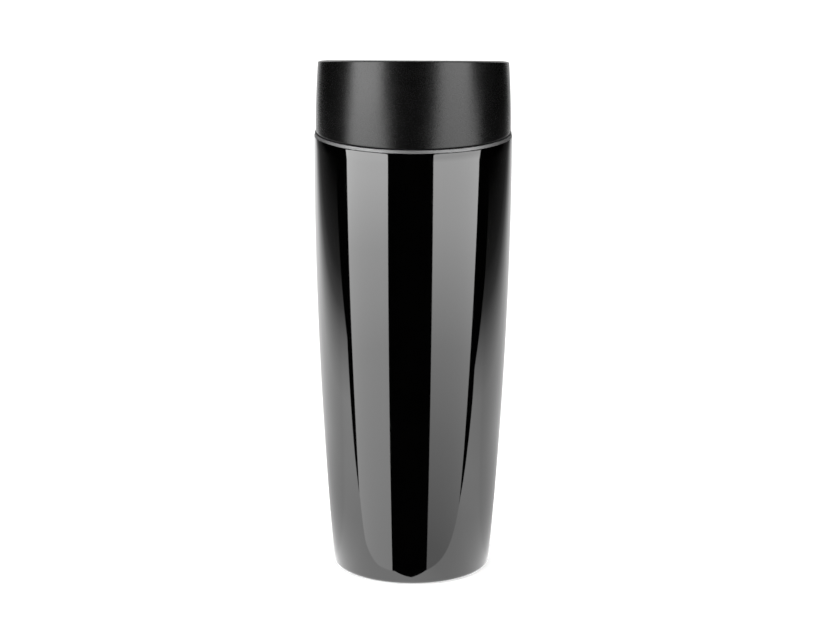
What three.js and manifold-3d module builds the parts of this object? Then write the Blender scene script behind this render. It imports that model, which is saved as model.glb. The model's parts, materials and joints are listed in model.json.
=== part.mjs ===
// Insulated travel tumbler with a screw-in press lid.
//
// A double-walled steel cup holds a vacuum between its painted outer shell and its bare inner
// vessel. The lid screws into the cup's neck on a three-start thread. Pressing the button on top
// pushes a valve down off its seat, and the drink then runs up round the button to the rim. A coil
// spring closes the valve again. The lid's top is cut on a slope: it is high at the front (-Y).
//
// Millimetres, +Z up, origin at the centre of the foot's underside.

import * as THREE from "three";
import { mergeVertices } from "three/addons/utils/BufferGeometryUtils.js";
import Module from "manifold-3d";

const wasm = await Module();
wasm.setup();

// ---------------------------------------------------------------- driving dimensions

const OUTER_RADIUS = 42; // the shell at its widest
const WIDEST_Z = 186; // height where the shell is widest
const WALL_ARC = 2090; // radius of the long arc that the shell's side follows down to the foot
const SHELL_BOTTOM_Z = 0.4; // the shell stands this clear of the table, on the foot pad
const SHELL_TOP_Z = 190.3; // top of the shell's rounded shoulder
const FOOT_CORNER = 1.6; // rounding where the side turns under
const SHOULDER_CORNER = 0.55;
const SHELL_MOUTH = 39.5; // radius of the hole in the shell's turned-in top edge
const STEEL = 0.5; // thickness of every drawn steel wall
const VACUUM = 5; // gap between the two steel walls
const FOOT_OPENING = 29.8; // radius of the opening under the shell
const FOOT_PAD_RADIUS = 26.5;

const VESSEL_FLOOR_Z = 14; // inside floor of the drinking vessel
const VESSEL_CORNER = 9;
const NECK_RADIUS = 36.2; // smooth bore of the threaded neck
const NECK_BOTTOM_Z = 176.5;
const LEDGE_RADIUS = 33.8; // bore of the ledge that the lid's gasket sits on
const LEDGE_TOP_Z = 172.6;
const RIM_RADIUS = 41.75; // outside of the silver ring, nearly flush with the shell
const RIM_TOP_Z = 191.7;

const THREAD_STARTS = 3;
const THREAD_LEAD = 12; // rise of the lid in one turn
const THREAD_SPAN = (150 * Math.PI) / 180; // angle that each ridge runs through
const THREAD_DEPTH = 1.4;
const THREAD_ROOT = 2; // height of a ridge where it leaves the wall
const THREAD_CREST = 1.1;
const PLUG_RADIUS = 34.4; // the lid's threaded plug
const PLUG_BORE = 31.2;
const PLUG_TOP_Z = 195;
const CARRIER_SHELF_Z = 184.6; // shelf in the plug that the valve carrier sits on
const MALE_THREAD_Z = 179.2; // where the lid's ridges start
const FEMALE_THREAD_Z = MALE_THREAD_Z + THREAD_LEAD / THREAD_STARTS / 2;

const LID_BOTTOM_Z = 192;
const LID_RADIUS = 41.35; // the sleeve at its lower edge
const LID_ARC = 420; // radius of the arc that the sleeve's side follows
const LID_TOP_Z = 222.1; // the rim on the axis; the front is higher and the back lower
const TOP_SLOPE = 0.167; // rise of the lid's top per millimetre towards the front
const SLEEVE_WALL = 2;
const PART_GAP = 0.3; // between pieces that touch

const BUTTON_RADIUS = 27;
const BUTTON_TOP_Z = 219.6; // on the axis
const BUTTON_WALL = 2.2;
const INLAY_RADIUS = 24.2;
const INLAY_THICKNESS = 0.8;
const PRESS_TRAVEL = 6;

const TUBE_RADIUS = 12; // the cartridge tube that guides the press mechanism
const TUBE_BORE = 10;
const TUBE_FLOOR_Z = 180;
const TUBE_FLOOR = 3;
const TUBE_TOP_Z = 204.5;
const SPOKE_WIDTH = 2.2;
const STEM_RADIUS = 3;
const SEAT_RADIUS = 23.5; // mouth that the valve closes
const CAM_TURN = Math.PI / 3; // the cam turns this far over the full press
const CAM_LEAD = (-PRESS_TRAVEL * 2 * Math.PI) / CAM_TURN;
const LUG_Z = 197.6; // middle of the cam's lugs with the button up
const GETTER_OFFSET = 15; // the getter sits this far from the axis
const BLANK_TOP_Z = 232; // height of a lid piece before its top is cut on the slope

const ROUND = 32; // facets of the large round pieces
const SMALL_ROUND = 20; // facets of the small ones

// ---------------------------------------------------------------- materials

const finish = (color, roughness, metalness) =>
  new THREE.MeshStandardMaterial({ color, roughness, metalness });

const glossPaint = finish(0x050506, 0.08, 0.1);
const bareSteel = finish(0xb4b6b9, 0.32, 1);
const polishedSteel = finish(0xc8cacc, 0.2, 1);
const softTouchBlack = finish(0x1b1b1c, 0.62, 0);
const blackPlastic = finish(0x151516, 0.42, 0);
const inlayBlack = finish(0x0d0d0e, 0.3, 0);
const greySilicone = finish(0x8f9396, 0.6, 0);
const darkSilicone = finish(0x202122, 0.75, 0);
const whiteAcetal = finish(0xd9d9d4, 0.45, 0);
const getterMetal = finish(0x5a5c60, 0.7, 0.8);
const brazingMetal = finish(0xb08a4a, 0.4, 1);

// ---------------------------------------------------------------- shape helpers

// The solid of a profile of [radius, height] points turned about Z. The profile closes on itself,
// or starts and ends on the axis.
function turned(points, facets = ROUND) {
  const first = points[0];
  const last = points[points.length - 1];
  const onAxis = first[0] === 0 && last[0] === 0;
  const loop = onAxis ? points : [...points, first];
  const area = loop.slice(1).reduce((sum, p, i) => sum + loop[i][0] * p[1] - p[0] * loop[i][1], 0);
  const outline = (area < 0 ? [...loop].reverse() : loop).map(([r, z]) => new THREE.Vector2(r, z));
  return new THREE.LatheGeometry(outline, facets).rotateX(Math.PI / 2);
}

// Points of an arc in the profile plane, from one angle to another in degrees, 0 pointing outwards.
function arc(centreR, centreZ, radius, from, to, steps) {
  return Array.from({ length: steps + 1 }, (_, i) => {
    const angle = THREE.MathUtils.degToRad(from + ((to - from) * i) / steps);
    return [centreR + radius * Math.cos(angle), centreZ + radius * Math.sin(angle)];
  });
}

// Points of a function of height, from one height to another.
function wall(radiusAt, fromZ, toZ, steps) {
  return Array.from({ length: steps + 1 }, (_, i) => {
    const z = fromZ + ((toZ - fromZ) * i) / steps;
    return [radiusAt(z), z];
  });
}

// A plain ring between two radii and two heights.
const ring = (inner, outer, lowZ, highZ, facets = ROUND) =>
  turned([[inner, lowZ], [outer, lowZ], [outer, highZ], [inner, highZ]], facets);

// A plain disc or rod on the axis.
const disc = (radius, lowZ, highZ, facets = ROUND) =>
  turned([[0, lowZ], [radius, lowZ], [radius, highZ], [0, highZ]], facets);

function solid(geometry) {
  const bare = new THREE.BufferGeometry().setAttribute("position", geometry.getAttribute("position"));
  if (geometry.index) bare.setIndex(geometry.index);
  const merged = mergeVertices(bare, 1e-3);
  const mesh = new wasm.Mesh({
    numProp: 3,
    vertProperties: merged.attributes.position.array,
    triVerts: new Uint32Array(merged.index.array),
  });
  return new wasm.Manifold(mesh);
}

function geometryOf(manifold) {
  const mesh = manifold.getMesh();
  const positions = new Float32Array(mesh.numVert * 3);
  for (let i = 0; i < mesh.numVert; i += 1) {
    positions.set(mesh.vertProperties.subarray(i * mesh.numProp, i * mesh.numProp + 3), i * 3);
  }
  return new THREE.BufferGeometry()
    .setAttribute("position", new THREE.BufferAttribute(positions, 3))
    .setIndex(new THREE.BufferAttribute(mesh.triVerts, 1));
}

const join = (...parts) => geometryOf(parts.map(solid).reduce((a, b) => a.add(b)));
const cut = (part, ...tools) => geometryOf(tools.map(solid).reduce((a, b) => a.subtract(b), solid(part)));

// A slab parallel to the lid's sloping top, from one height on the axis to another.
function slopedSlab(lowZ, highZ) {
  const side = 200;
  const thickness = (highZ - lowZ) * Math.cos(Math.atan(TOP_SLOPE));
  return new THREE.BoxGeometry(side, side, thickness)
    .translate(0, 0, thickness / 2)
    .rotateX(-Math.atan(TOP_SLOPE))
    .translate(0, 0, lowZ);
}

const above = (z) => slopedSlab(z, z + 60);
const below = (z) => slopedSlab(z - 60, z);

// A section of [radius, height] points swept round the axis from angle `start` through `span`,
// rising by `lead` in each turn.
function helicalBar(section, start, span, lead, steps) {
  const shape = new THREE.Shape(section.map(([r, z]) => new THREE.Vector2(r, z)));
  const bar = new THREE.ExtrudeGeometry(shape, { depth: span, steps, bevelEnabled: false });
  const place = bar.getAttribute("position");
  for (let i = 0; i < place.count; i += 1) {
    const [r, z, along] = [place.getX(i), place.getY(i), place.getZ(i)];
    const angle = start - along + span;
    const rise = (lead * (span - along)) / (2 * Math.PI);
    place.setXYZ(i, r * Math.cos(angle), r * Math.sin(angle), z + rise);
  }
  return bar;
}

// The section of a plain helical bar: two radii, its middle height and how tall it is.
const barSection = (inner, outer, z, height) => [
  [inner, z - height / 2],
  [outer, z - height / 2],
  [outer, z + height / 2],
  [inner, z + height / 2],
];

// The three ridges of a thread, standing off a wall towards `tip`.
function threadRidges(rootRadius, tipRadius, startZ) {
  const inWall = rootRadius + Math.sign(rootRadius - tipRadius) * 0.25;
  const section = [
    [inWall, startZ - THREAD_ROOT / 2],
    [tipRadius, startZ - THREAD_CREST / 2],
    [tipRadius, startZ + THREAD_CREST / 2],
    [inWall, startZ + THREAD_ROOT / 2],
  ];
  return Array.from({ length: THREAD_STARTS }, (_, i) =>
    helicalBar(section, (i * 2 * Math.PI) / THREAD_STARTS, THREAD_SPAN, THREAD_LEAD, 12),
  );
}

// ---------------------------------------------------------------- profiles that pieces share

const shellRadius = (z) => OUTER_RADIUS - Math.max(0, WIDEST_Z - z) ** 2 / (2 * WALL_ARC);
const vesselOuter = (z) => shellRadius(z) - STEEL - VACUUM;
const vesselInner = (z) => vesselOuter(z) - STEEL;
const sleeveOuter = (z) => LID_RADIUS - Math.max(0, z - LID_BOTTOM_Z) ** 2 / (2 * LID_ARC);
const sleeveInner = (z) => sleeveOuter(z) - SLEEVE_WALL;

// ---------------------------------------------------------------- the cup

// Painted outer wall: rounded shoulder at the top, turned under at the foot.
function outerShell() {
  const cornerZ = SHELL_BOTTOM_Z + FOOT_CORNER;
  const shoulderZ = SHELL_TOP_Z - SHOULDER_CORNER;
  const cornerR = shellRadius(cornerZ) - FOOT_CORNER;
  const shoulderR = OUTER_RADIUS - SHOULDER_CORNER;
  const inside = (z) => shellRadius(z) - STEEL;
  return turned([
    [FOOT_OPENING, SHELL_BOTTOM_Z],
    ...arc(cornerR, cornerZ, FOOT_CORNER, -90, 0, 3),
    ...wall(shellRadius, 30, WIDEST_Z, 5),
    ...arc(shoulderR, shoulderZ, SHOULDER_CORNER, 0, 90, 2),
    [SHELL_MOUTH, SHELL_TOP_Z],
    [SHELL_MOUTH, SHELL_TOP_Z - STEEL],
    ...arc(shoulderR, shoulderZ, SHOULDER_CORNER - STEEL, 90, 0, 1),
    ...wall(inside, WIDEST_Z, 30, 5),
    ...arc(cornerR, cornerZ, FOOT_CORNER - STEEL, 0, -90, 3),
    [FOOT_OPENING, SHELL_BOTTOM_Z + STEEL],
  ]);
}

// Bare steel drinking vessel: rounded floor, gasket ledge, threaded neck and flared lip.
function innerVessel() {
  const floorR = vesselInner(VESSEL_FLOOR_Z + VESSEL_CORNER) - VESSEL_CORNER;
  const cornerZ = VESSEL_FLOOR_Z + VESSEL_CORNER;
  const lipCorner = 1.6;
  const lipR = 40.4;
  const lipZ = SHELL_TOP_Z - PART_GAP - STEEL; // underside of the shell's turned-in edge
  const bodyTopZ = LEDGE_TOP_Z - 5;
  const inside = [
    [0, VESSEL_FLOOR_Z],
    ...arc(floorR, cornerZ, VESSEL_CORNER, -90, 0, 3),
    ...wall(vesselInner, 45, bodyTopZ, 3),
    [LEDGE_RADIUS, LEDGE_TOP_Z - 1.6],
    [LEDGE_RADIUS, LEDGE_TOP_Z],
    [NECK_RADIUS, NECK_BOTTOM_Z - 2.6],
    ...arc(NECK_RADIUS + lipCorner, lipZ - lipCorner, lipCorner, 180, 90, 2),
  ];
  const outside = [
    [lipR, lipZ],
    [lipR, lipZ - STEEL],
    ...arc(NECK_RADIUS + lipCorner, lipZ - lipCorner, lipCorner - STEEL, 90, 180, 2),
    [NECK_RADIUS + STEEL, NECK_BOTTOM_Z - 2.8],
    [LEDGE_RADIUS + STEEL, LEDGE_TOP_Z - 0.3],
    [LEDGE_RADIUS + STEEL, LEDGE_TOP_Z - 1.4],
    ...wall(vesselOuter, bodyTopZ, 45, 3),
    ...arc(floorR, cornerZ, VESSEL_CORNER + STEEL, 0, -90, 3),
    [0, VESSEL_FLOOR_Z - STEEL],
  ];
  const shell = turned([...inside, ...outside]);
  return join(shell, ...threadRidges(NECK_RADIUS, NECK_RADIUS - THREAD_DEPTH, FEMALE_THREAD_Z));
}

// Bright steel ring that closes the joint between vessel and shell, the silver line under the lid.
function rimRing() {
  const inner = 37.9;
  const hook = SHELL_MOUTH - PART_GAP; // the ring hooks inside the shell's turned-in edge
  const hookDepth = 0.6;
  const edge = 0.3;
  const low = SHELL_TOP_Z + PART_GAP;
  return turned([
    [inner, low - hookDepth],
    [hook, low - hookDepth],
    [hook, low],
    [RIM_RADIUS, low],
    [RIM_RADIUS - edge / 2, RIM_TOP_Z - edge],
    [RIM_RADIUS - edge, RIM_TOP_Z],
    [inner, RIM_TOP_Z],
  ]);
}

// Steel floor of the shell, dished round a small evacuation hole.
function basePlate() {
  const top = 6.4;
  const flangeR = FOOT_OPENING + 1.2;
  const flangeZ = SHELL_BOTTOM_Z + STEEL + PART_GAP;
  return turned([
    [1.2, top - 1],
    [4.5, top - 1],
    [6, top],
    [flangeR - 2.8, top],
    [flangeR - 1.8, flangeZ + STEEL],
    [flangeR, flangeZ + STEEL],
    [flangeR, flangeZ],
    [flangeR - 2.2, flangeZ],
    [flangeR - 3.2, top - STEEL],
    [6.2, top - STEEL],
    [4.7, top - 1 - STEEL],
    [1.2, top - 1 - STEEL],
  ]);
}

// Bead of brazing metal that stops the evacuation hole.
function sealBead() {
  return turned([[0, 3.8], [1.4, 4], [2.3, 4.6], [0.9, 4.6], [0.9, 5.2], [0, 5.2]], 24);
}

// Thin cup under the vessel's floor, which holds the getter in the vacuum.
function getterCup() {
  const section = [[0, 9.6], [5, 9.6], [5, 13.1], [4.6, 13.1], [4.6, 10], [0, 10]];
  return turned(section, 24).translate(GETTER_OFFSET, 0, 0);
}

function getterPellet() {
  return disc(4.2, 10.3, 12.7, 24).translate(GETTER_OFFSET, 0, 0);
}

// Plastic cover over the evacuation stub, recessed for the foot pad.
function baseCover() {
  const edge = FOOT_OPENING - 1.7;
  return turned([
    [0, 2.2],
    [FOOT_PAD_RADIUS + PART_GAP, 2.2],
    [FOOT_PAD_RADIUS + PART_GAP, 0.8],
    [edge, 0.8],
    [edge, 3.2],
    [0, 3.2],
  ]);
}

function footPad() {
  const edge = 0.3;
  return turned([
    [0, 0],
    [FOOT_PAD_RADIUS - edge, 0],
    [FOOT_PAD_RADIUS, edge],
    [FOOT_PAD_RADIUS, 1.9],
    [0, 1.9],
  ]);
}

// ---------------------------------------------------------------- the lid

// Soft-touch cover round the lid, cut on the slope.
function lidSleeve() {
  const edge = 0.4;
  return cut(
    turned([
      [sleeveInner(LID_BOTTOM_Z), LID_BOTTOM_Z],
      [LID_RADIUS - edge, LID_BOTTOM_Z],
      ...wall(sleeveOuter, LID_BOTTOM_Z + edge, BLANK_TOP_Z, 3),
      ...wall(sleeveInner, BLANK_TOP_Z, LID_BOTTOM_Z + edge, 3),
    ]),
    above(LID_TOP_Z),
  );
}

// Bowl that the drink rises into, between the sleeve and the button. It is welded to the plug.
function drinkingBowl() {
  const bowlWall = 2.2;
  const outerAt = (z) => sleeveInner(z) - PART_GAP;
  const blank = turned([
    [PLUG_BORE, PLUG_TOP_Z + PART_GAP],
    [PLUG_BORE + 3.6, PLUG_TOP_Z + PART_GAP],
    [PLUG_BORE + 3.6, 200],
    [outerAt(210) - 0.4, 210],
    [outerAt(BLANK_TOP_Z), BLANK_TOP_Z],
    [outerAt(BLANK_TOP_Z) - bowlWall, BLANK_TOP_Z],
    [outerAt(211) - bowlWall, 211],
    [PLUG_BORE + 0.8, 200],
  ]);
  return cut(blank, above(LID_TOP_Z - PART_GAP));
}

// Plug with the thread, the gasket groove, the flange that carries the sleeve and the valve seat.
function threadedPlug() {
  const low = 171.4;
  const groove = [172.9, 176.6];
  const grooveR = PLUG_RADIUS - 2.8;
  const flangeR = sleeveInner(LID_BOTTOM_Z) - PART_GAP;
  const body = turned([
    [30, low],
    [33, low],
    [33, groove[0]],
    [grooveR, groove[0]],
    [grooveR, groove[1]],
    [PLUG_RADIUS, groove[1]],
    [PLUG_RADIUS, LID_BOTTOM_Z],
    [flangeR, LID_BOTTOM_Z],
    [flangeR, LID_BOTTOM_Z + 2],
    [PLUG_BORE + 3.6, LID_BOTTOM_Z + 2],
    [PLUG_BORE + 3.6, PLUG_TOP_Z],
    [PLUG_BORE, PLUG_TOP_Z],
    [PLUG_BORE, CARRIER_SHELF_Z],
    [SEAT_RADIUS + 0.6, 180.4],
    [SEAT_RADIUS, 179.6],
    [SEAT_RADIUS, 178.6],
    [27.5, 175.5],
    [30, 175.5],
  ]);
  return join(body, ...threadRidges(PLUG_RADIUS, PLUG_RADIUS + THREAD_DEPTH, MALE_THREAD_Z));
}

// Insert that sits on the plug's shelf: a ring, four spokes and the cartridge tube.
function valveCarrier() {
  const ringOuter = PLUG_BORE - PART_GAP;
  const ringInner = ringOuter - 1.6;
  const [low, high] = [CARRIER_SHELF_Z + 1.4, CARRIER_SHELF_Z + 8.4];
  const tube = turned([
    [STEM_RADIUS + 0.3, TUBE_FLOOR_Z + 2],
    [5.2, TUBE_FLOOR_Z + 2],
    [5.2, TUBE_FLOOR_Z],
    [TUBE_RADIUS - 1, TUBE_FLOOR_Z],
    [TUBE_RADIUS, TUBE_FLOOR_Z + 1],
    [TUBE_RADIUS, TUBE_TOP_Z],
    [TUBE_BORE, TUBE_TOP_Z],
    [TUBE_BORE, TUBE_FLOOR_Z + TUBE_FLOOR],
    [STEM_RADIUS + 0.3, TUBE_FLOOR_Z + TUBE_FLOOR],
  ]);
  const spokeLength = ringInner - TUBE_RADIUS + 2;
  const spokes = [0, 1, 2, 3].map((i) =>
    new THREE.BoxGeometry(spokeLength, SPOKE_WIDTH, high - low)
      .translate(TUBE_RADIUS - 1 + spokeLength / 2, 0, (low + high) / 2)
      .rotateZ(Math.PI / 4 + (i * Math.PI) / 2),
  );
  return join(ring(ringInner, ringOuter, low, high), tube, ...spokes);
}

// Silicone ring that seals the plug on the cup's ledge. It turns freely in its groove.
function lidGasket() {
  const inner = PLUG_RADIUS - 2.5;
  return turned([
    [inner, 173.2],
    [PLUG_RADIUS - 0.6, 173.2],
    [PLUG_RADIUS, 173.8],
    [PLUG_RADIUS, 175.6],
    [PLUG_RADIUS - 0.6, 176.3],
    [inner, 176.3],
  ]);
}

// Guide pressed into the tube: helical slots lead the cam's lugs round as it goes down.
function camSleeve() {
  const [inner, outer] = [8.1, TUBE_BORE - 0.25];
  const [low, high] = [183.4, 202];
  const slotHeight = 3.6;
  const spare = 0.16; // radians that each slot runs on past the lug's travel at both ends
  const startZ = LUG_Z - (CAM_LEAD * spare) / (2 * Math.PI);
  const section = barSection(inner - 0.5, outer + 0.5, startZ, slotHeight);
  const slots = [0, 1, 2].map((i) =>
    helicalBar(section, (i * 2 * Math.PI) / 3 - spare, CAM_TURN + 2 * spare, CAM_LEAD, 6),
  );
  return cut(ring(inner, outer, low, high, SMALL_ROUND), ...slots);
}

// Silicone ring in the mouth of the tube, which wipes the plunger.
function plungerWiper() {
  return turned(
    [[7.7, 203], [8.2, 202.3], [9.7, 202.3], [9.7, 204.4], [8.4, 204.4], [7.7, 203.6]],
    SMALL_ROUND,
  );
}

// The coil spring between the tube's floor and the thrust washer.
class SpringLine extends THREE.Curve {
  constructor(radius, lowZ, highZ, turns) {
    super();
    Object.assign(this, { radius, lowZ, highZ, turns });
  }

  getPoint(t, target = new THREE.Vector3()) {
    const angle = t * this.turns * 2 * Math.PI;
    const z = this.lowZ + (this.highZ - this.lowZ) * t;
    return target.set(this.radius * Math.cos(angle), this.radius * Math.sin(angle), z);
  }
}

function returnSpring() {
  const wire = 0.45;
  const section = new THREE.Shape().absarc(0, 0, wire, 0, 2 * Math.PI);
  const line = new SpringLine(6.2, 183.8, 193.4, 4);
  return new THREE.ExtrudeGeometry(section, { curveSegments: 3, steps: 48, extrudePath: line });
}

function stemSeal() {
  return turned(arc(4.15, 181, 0.8, 0, 300, 5), SMALL_ROUND);
}

// Washer that keeps the stem seal in the tube's floor.
function sealRetainer() {
  return ring(STEM_RADIUS + 0.4, 7, 178.7, 179.7, SMALL_ROUND);
}

// ---------------------------------------------------------------- what moves with the button

// Hollow button with its top on the lid's slope, and a boss that takes the plunger.
function buttonCap() {
  const skirtZ = 205.5;
  const bossZ = 211;
  const bossRadius = 9.5;
  const insideTop = BUTTON_TOP_Z - BUTTON_WALL;
  const blank = turned([
    [0, skirtZ],
    [BUTTON_RADIUS - 0.8, skirtZ],
    [BUTTON_RADIUS, 209],
    [BUTTON_RADIUS, BLANK_TOP_Z],
    [0, BLANK_TOP_Z],
  ]);
  const hollow = cut(ring(bossRadius, BUTTON_RADIUS - BUTTON_WALL, 200, BLANK_TOP_Z), above(insideTop));
  return cut(
    blank,
    above(BUTTON_TOP_Z),
    hollow,
    disc(bossRadius + 0.1, 200, bossZ),
    disc(7.6, 205, 215.3, SMALL_ROUND),
    cut(disc(INLAY_RADIUS + PART_GAP, skirtZ, BLANK_TOP_Z), below(BUTTON_TOP_Z - INLAY_THICKNESS)),
  );
}

// Smooth disc let into the top of the button.
function buttonInlay() {
  const seatZ = BUTTON_TOP_Z - INLAY_THICKNESS + 0.1;
  return cut(disc(INLAY_RADIUS, 205, BLANK_TOP_Z), above(BUTTON_TOP_Z), below(seatZ));
}

function plunger() {
  return turned(
    [[3.3, 200.3], [6.6, 200.3], [7.3, 201], [7.3, 215], [3.3, 215]],
    SMALL_ROUND,
  );
}

// Cam ring with three lugs that run in the guide's slots.
function indexCam() {
  const [inner, outer] = [STEM_RADIUS + 0.4, 7.8];
  const halfHeight = 2.4;
  const lugTip = 9.3;
  const lugHeight = 2.6;
  const lugSpan = 0.16;
  const startZ = LUG_Z - (CAM_LEAD * lugSpan) / (4 * Math.PI);
  const section = barSection(outer - 0.8, lugTip, startZ, lugHeight);
  const lugs = [0, 1, 2].map((i) =>
    helicalBar(section, (i * 2 * Math.PI) / 3 - lugSpan / 2, lugSpan, CAM_LEAD, 1),
  );
  return join(ring(inner, outer, LUG_Z - halfHeight, LUG_Z + halfHeight, SMALL_ROUND), ...lugs);
}

function thrustWasher() {
  return ring(3.3, 7.6, 194.2, 194.9, SMALL_ROUND);
}

// Steel rod from the plunger down to the valve, stepped down where the valve sits.
function valveStem() {
  return turned(
    [[0, 163.6], [2, 163.6], [2.3, 164], [2.3, 175.6], [STEM_RADIUS, 175.6], [STEM_RADIUS, 214.6],
      [0, 214.6]],
    24,
  );
}

// Dished valve disc with a groove round its edge for the gasket.
function valveHead() {
  return turned([
    [2.6, 169.4],
    [6.4, 169.4],
    [6.4, 172.2],
    [20, 171.2],
    [25.4, 171.2],
    [25.6, 171.6],
    [25.6, 172.8],
    [21.6, 172.8],
    [21.6, 176],
    [22.9, 176],
    [22.9, 177],
    [21, 177.8],
    [8, 175.4],
    [2.6, 175.4],
  ]);
}

// Silicone ring whose sloping face closes on the lid's seat.
function valveGasket() {
  return turned([
    [21.9, 173.1],
    [26.8, 173.1],
    [27.4, 173.6],
    [26.7, 175.7],
    [23.7, 178],
    [23.2, 177.6],
    [23.2, 175.7],
    [21.9, 175.7],
  ]);
}

// Lobed finger nut that holds the valve on its stem.
function valveNut() {
  const outline = new THREE.Shape(
    Array.from({ length: 36 }, (_, i) => {
      const angle = (i * 2 * Math.PI) / 36;
      const radius = 7.2 + 0.8 * Math.cos(6 * angle);
      return new THREE.Vector2(radius * Math.cos(angle), radius * Math.sin(angle));
    }),
  );
  const bore = new THREE.Path().absarc(0, 0, 2.5, 0, 2 * Math.PI, true);
  outline.holes.push(bore);
  const nut = new THREE.ExtrudeGeometry(outline, { depth: 4.2, bevelEnabled: false, curveSegments: 6 });
  return nut.translate(0, 0, 164.9);
}

// ---------------------------------------------------------------- assembly

function piece(name, geometry, material) {
  const mesh = new THREE.Mesh(geometry, material);
  mesh.name = name;
  return mesh;
}

const cup = new THREE.Group().add(
  piece("outer_shell", outerShell(), glossPaint),
  piece("inner_vessel", innerVessel(), bareSteel),
  piece("rim_ring", rimRing(), polishedSteel),
  piece("base_plate", basePlate(), bareSteel),
  piece("seal_bead", sealBead(), brazingMetal),
  piece("getter_cup", getterCup(), bareSteel),
  piece("getter_pellet", getterPellet(), getterMetal),
  piece("base_cover", baseCover(), blackPlastic),
  piece("foot_pad", footPad(), darkSilicone),
);

const lid = new THREE.Group().add(
  piece("lid_sleeve", lidSleeve(), softTouchBlack),
  piece("drinking_bowl", drinkingBowl(), blackPlastic),
  piece("threaded_plug", threadedPlug(), blackPlastic),
  piece("valve_carrier", valveCarrier(), blackPlastic),
  piece("lid_gasket", lidGasket(), greySilicone),
  piece("cam_sleeve", camSleeve(), whiteAcetal),
  piece("plunger_wiper", plungerWiper(), greySilicone),
  piece("return_spring", returnSpring(), polishedSteel),
  piece("stem_seal", stemSeal(), greySilicone),
  piece("seal_retainer", sealRetainer(), bareSteel),
);

const valve = new THREE.Group().add(
  piece("button_cap", buttonCap(), softTouchBlack),
  piece("button_inlay", buttonInlay(), inlayBlack),
  piece("plunger", plunger(), whiteAcetal),
  piece("index_cam", indexCam(), whiteAcetal),
  piece("thrust_washer", thrustWasher(), bareSteel),
  piece("valve_stem", valveStem(), bareSteel),
  piece("valve_head", valveHead(), blackPlastic),
  piece("valve_gasket", valveGasket(), greySilicone),
  piece("valve_nut", valveNut(), blackPlastic),
);

const tumbler = new THREE.Group().add(cup, lid, valve);

export default tumbler;
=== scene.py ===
"""Looks of the insulated tumbler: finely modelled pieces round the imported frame, procedural
materials, and a studio with two tall softboxes in front, a pale floor and a white background.

Blender's units are metres. Profiles are written in millimetres, as (radius, height) points that
run round a closed section, and are turned about the tumbler's axis.
"""

import json
import math

import bmesh
import bpy
from mathutils import Matrix, Vector


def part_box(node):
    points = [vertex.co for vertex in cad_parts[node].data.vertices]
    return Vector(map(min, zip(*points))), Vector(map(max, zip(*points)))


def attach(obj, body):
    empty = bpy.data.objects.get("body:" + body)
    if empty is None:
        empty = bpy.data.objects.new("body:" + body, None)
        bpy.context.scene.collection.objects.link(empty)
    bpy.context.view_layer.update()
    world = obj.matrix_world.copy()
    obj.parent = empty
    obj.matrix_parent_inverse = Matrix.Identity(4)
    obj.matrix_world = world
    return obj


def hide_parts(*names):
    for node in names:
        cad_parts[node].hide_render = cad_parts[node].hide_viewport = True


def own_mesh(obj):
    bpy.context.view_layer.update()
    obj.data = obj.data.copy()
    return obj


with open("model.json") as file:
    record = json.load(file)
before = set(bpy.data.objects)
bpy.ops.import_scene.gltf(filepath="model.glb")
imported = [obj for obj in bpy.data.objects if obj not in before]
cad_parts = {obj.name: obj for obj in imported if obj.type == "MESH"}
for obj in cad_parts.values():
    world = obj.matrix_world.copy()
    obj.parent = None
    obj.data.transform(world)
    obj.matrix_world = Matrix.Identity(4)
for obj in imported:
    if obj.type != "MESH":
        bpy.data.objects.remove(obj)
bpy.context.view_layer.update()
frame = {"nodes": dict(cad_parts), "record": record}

record = frame["record"]
BODY_OF = {node: body for body, nodes in record["behaviour"]["bodies"].items() for node in nodes}
SLOT_OF = {part["node"]: part["material_slot"] for part in record["subparts"]}
MM = 0.001


def reach(node):
    """The largest radius, lowest height and highest height of a CAD node, in millimetres."""
    low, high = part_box(node)
    return high[0] / MM, low[2] / MM, high[2] / MM


# ---------------------------------------------------------------- dimensions, in millimetres

OUTER_RADIUS, SHELL_LOW, SHELL_HIGH = reach("outer_shell")
WIDEST_Z = 186  # below it the wall curves inwards
WALL_ARC = 2090  # radius of that curve
WALL_START = 8  # the curve ends here; a straight piece joins it to the foot's corner
FOOT_CORNER = 1.6
SHOULDER_CORNER = 0.25
SHELL_MOUTH = 39.5
FOOT_OPENING = 29.8
STEEL = 0.5
VACUUM = 5

RING_RADIUS, RING_LOW, RING_HIGH = reach("rim_ring")
NECK_RADIUS = 36.2
LEDGE_RADIUS = 33.8  # the lid's gasket rests on this ledge inside the cup
LEDGE_TOP = 172.6
THREAD_LEAD = 12
THREAD_STARTS = 3
THREAD_SPAN = math.radians(150)
THREAD_DEPTH = 1.4
MALE_THREAD_Z = 179.2
PLUG_RADIUS = 34.4
PLUG_BORE = 31.2
PLUG_LIP = PLUG_BORE + 3.6  # outside of the lip that carries the drinking bowl

LID_RADIUS = 41.35
LID_LOW = reach("lid_sleeve")[1]
LID_ARC = 420  # radius of the sleeve's curve
LID_TOP = 222.1  # height of the sloping rim on the axis
TOP_SLOPE = 0.167  # rise of the rim per millimetre towards the front
SLEEVE_WALL = 2
BOWL_WALL = 2.2
GAP = 0.3  # between pieces that are pressed, glued or welded together
RIM_CROWN = (4.6, 0.9)  # width and fall of the rim's rounded outer part

BUTTON_RADIUS = reach("button_cap")[0]
BUTTON_TOP = 219.6
INLAY_RADIUS = reach("button_inlay")[0]
TUBE_RADIUS = 12
STEM_RADIUS = 3
SEAT_RADIUS = 23.5

# segments round a piece, by its size
FINE = 192
MEDIUM = 96
SMALL = 48


# ---------------------------------------------------------------- shape helpers

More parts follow.
